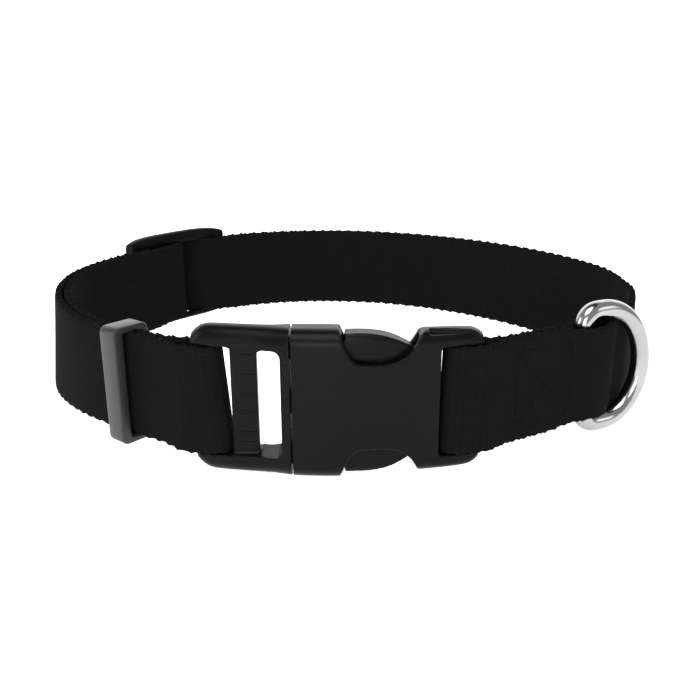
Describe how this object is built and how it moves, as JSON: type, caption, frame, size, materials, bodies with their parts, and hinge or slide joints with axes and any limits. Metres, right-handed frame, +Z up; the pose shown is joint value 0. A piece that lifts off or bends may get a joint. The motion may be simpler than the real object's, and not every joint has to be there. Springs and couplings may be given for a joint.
{
  "type": "dog collar",
  "caption": "Closed loop of black webbing with a fastened side release buckle, a slide adjuster, a keeper loop and a nickel D-ring for a leash.",
  "frame": {"origin": "bottom centre of the box round the whole collar, lying on its lower edge", "axes": "+X from the buckle's male half towards its female half and the D-ring, +Y away from the buckle through the loop, +Z up across the strap's width"},
  "size_m": [0.1518, 0.1344, 0.0321],
  "materials": {
    "webbing": "matt black woven nylon with a bumpy edge",
    "buckle": "moulded black acetal with soft shine on its rounded edges",
    "slide": "moulded black acetal",
    "keeper": "moulded dark grey plastic, smooth enough to shine where it faces the light",
    "ring": "bright nickel plated steel wire"
  },
  "bodies": {
    "collar": {"webbing": "webbing", "buckle_male": "buckle", "buckle_female": "buckle", "slide_adjuster": "slide", "keeper_loop": "keeper"},
    "ring": {"d_ring": "ring"}
  },
  "joints": [
    {"name": "d_ring_swing", "type": "hinge", "parent": "collar", "child": "ring", "pos_m": [0.05832, -0.0429, 0.01605], "axis": [0, 0, 1], "range_deg": [-120, 1]}
  ]
}
